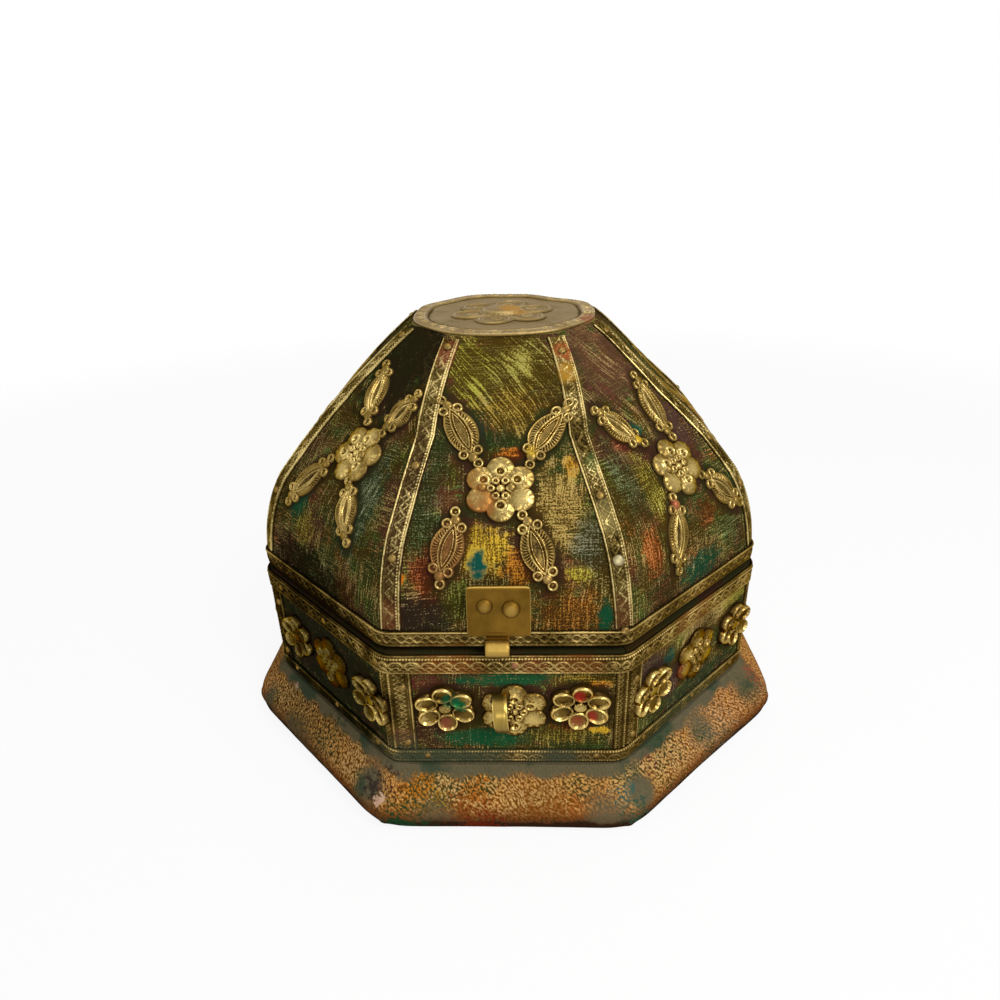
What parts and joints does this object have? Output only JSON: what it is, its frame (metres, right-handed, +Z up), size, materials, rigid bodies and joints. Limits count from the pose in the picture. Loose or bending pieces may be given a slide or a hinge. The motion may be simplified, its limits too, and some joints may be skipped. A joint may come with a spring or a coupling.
{
  "type": "trinket box",
  "caption": "Eight-sided wooden trinket box with a domed hinged lid, painted and dressed with embossed brass strips and stamped flower mounts, on a flared plinth.",
  "frame": {"origin": "centre of the flat underside of the plinth", "axes": "+Z up, the front with the hasp plate and staple faces -Y, the hinge is on the +Y side"},
  "size_m": [0.1888, 0.1888, 0.1395],
  "materials": {
    "plinth_paint": "distressed gold and red paint over pebbled gesso on wood",
    "wall_paint": "distressed dark green and maroon paint on wood",
    "lid_paint": "distressed dark olive paint rubbed with yellow over cloth grain",
    "repousse_brass": "stamped, tarnished brass",
    "strip_brass": "embossed, tarnished brass strip",
    "crown_brass": "dull grey-brown brass",
    "plain_brass": "plain worn brass sheet"
  },
  "bodies": {
    "body": {"plinth": "plinth_paint", "foot_band": "strip_brass", "top_band": "strip_brass", "staple": "plain_brass", "hinge_body_leaf": "plain_brass", "hinge_pin": "plain_brass", "wall_front": "wall_paint", "corner_strip_1": "strip_brass", "wall_flower_front": "repousse_brass", "wall_front_right": "wall_paint", "corner_strip_2": "strip_brass", "wall_flower_front_right": "repousse_brass", "wall_right": "wall_paint", "corner_strip_3": "strip_brass", "wall_flower_right": "repousse_brass", "wall_back_right": "wall_paint", "corner_strip_4": "strip_brass", "wall_flower_back_right": "repousse_brass", "wall_back": "wall_paint", "corner_strip_5": "strip_brass", "wall_flower_back": "repousse_brass", "wall_back_left": "wall_paint", "corner_strip_6": "strip_brass", "wall_flower_back_left": "repousse_brass", "wall_left": "wall_paint", "corner_strip_7": "strip_brass", "wall_flower_left": "repousse_brass", "wall_front_left": "wall_paint", "corner_strip_8": "strip_brass", "wall_flower_front_left": "repousse_brass"},
    "lid": {"lid_rim_band": "strip_brass", "lid_top_block": "lid_paint", "crown_plate": "crown_brass", "crown_medallion": "crown_brass", "hasp_plate": "plain_brass", "hinge_lid_leaf": "plain_brass", "lid_stave_front": "lid_paint", "lid_rib_1": "strip_brass", "lid_mount_front": "repousse_brass", "lid_stave_front_right": "lid_paint", "lid_rib_2": "strip_brass", "lid_mount_front_right": "repousse_brass", "lid_stave_right": "lid_paint", "lid_rib_3": "strip_brass", "lid_mount_right": "repousse_brass", "lid_stave_back_right": "lid_paint", "lid_rib_4": "strip_brass", "lid_mount_back_right": "repousse_brass", "lid_stave_back": "lid_paint", "lid_rib_5": "strip_brass", "lid_mount_back": "repousse_brass", "lid_stave_back_left": "lid_paint", "lid_rib_6": "strip_brass", "lid_mount_back_left": "repousse_brass", "lid_stave_left": "lid_paint", "lid_rib_7": "strip_brass", "lid_mount_left": "repousse_brass", "lid_stave_front_left": "lid_paint", "lid_rib_8": "strip_brass", "lid_mount_front_left": "repousse_brass"}
  },
  "joints": [
    {"name": "lid_hinge", "type": "hinge", "parent": "body", "child": "lid", "pos_m": [0, 0.08695, 0.05925], "axis": [-1, 0, 0], "range_deg": [0, 105]}
  ]
}
